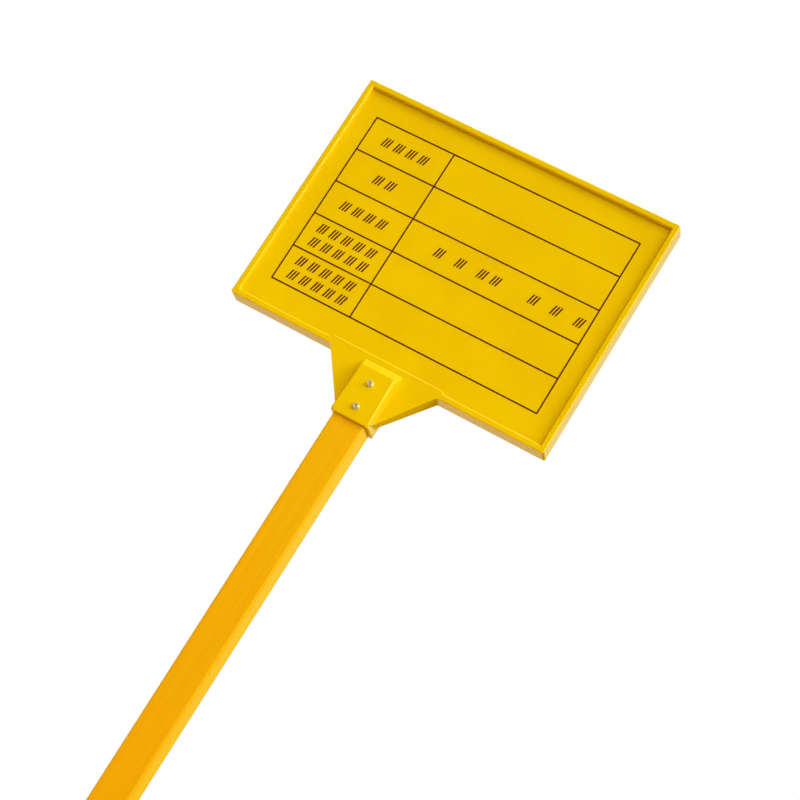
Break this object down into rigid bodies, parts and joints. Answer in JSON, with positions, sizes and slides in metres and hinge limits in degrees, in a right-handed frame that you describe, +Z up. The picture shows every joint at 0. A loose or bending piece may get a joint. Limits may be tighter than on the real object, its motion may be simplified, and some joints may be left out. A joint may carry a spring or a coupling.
{
  "type": "fibreglass warning sign",
  "caption": "Yellow fibreglass sign: a moulded tray with a ruled form on its field and a hooded socket, screwed to the head of a rectangular tube post.",
  "frame": {"origin": "centre of the post's foot", "axes": "+Z up the post, -Y out of the printed face, +X to the right of someone who reads it"},
  "size_m": [0.4, 0.0412, 1.511],
  "materials": {
    "moulding": "glossy yellow moulded glass-fibre plastic",
    "tube": "semi-gloss orange-yellow pultruded glass-fibre plastic",
    "screw_steel": "zinc-plated, satin",
    "ink": "screen-printed dark brown ink"
  },
  "bodies": {
    "root": {"sign_board": "moulding", "post": "tube", "upper_screw": "screw_steel", "lower_screw": "screw_steel", "printed_form": "ink"}
  },
  "joints": []
}
